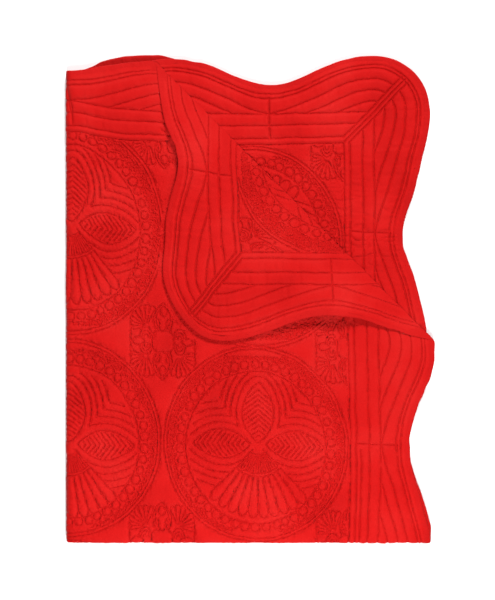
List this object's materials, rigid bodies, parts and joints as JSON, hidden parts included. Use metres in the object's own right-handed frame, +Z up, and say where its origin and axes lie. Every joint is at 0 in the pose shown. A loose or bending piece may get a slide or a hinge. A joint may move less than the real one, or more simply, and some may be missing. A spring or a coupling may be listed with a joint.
{
  "type": "baby quilt",
  "caption": "Red whole-cloth baby quilt with a scalloped, bound edge, folded in quarters with one corner turned back, lying flat.",
  "frame": {"origin": "centre of the folded quilt's footprint, on the surface that it lies on", "axes": "+Z up out of the top layer, +Y from the bottom fold to the open scalloped edges, +X from the left fold to the open scalloped edges"},
  "size_m": [0.4615, 0.6095, 0.0258],
  "materials": {
    "quilted_cotton": "matt stitched cotton",
    "binding_cotton": "matt bias-cut cotton"
  },
  "bodies": {
    "root": {"quilted_cloth": "quilted_cotton", "edge_binding": "binding_cotton"}
  },
  "joints": []
}
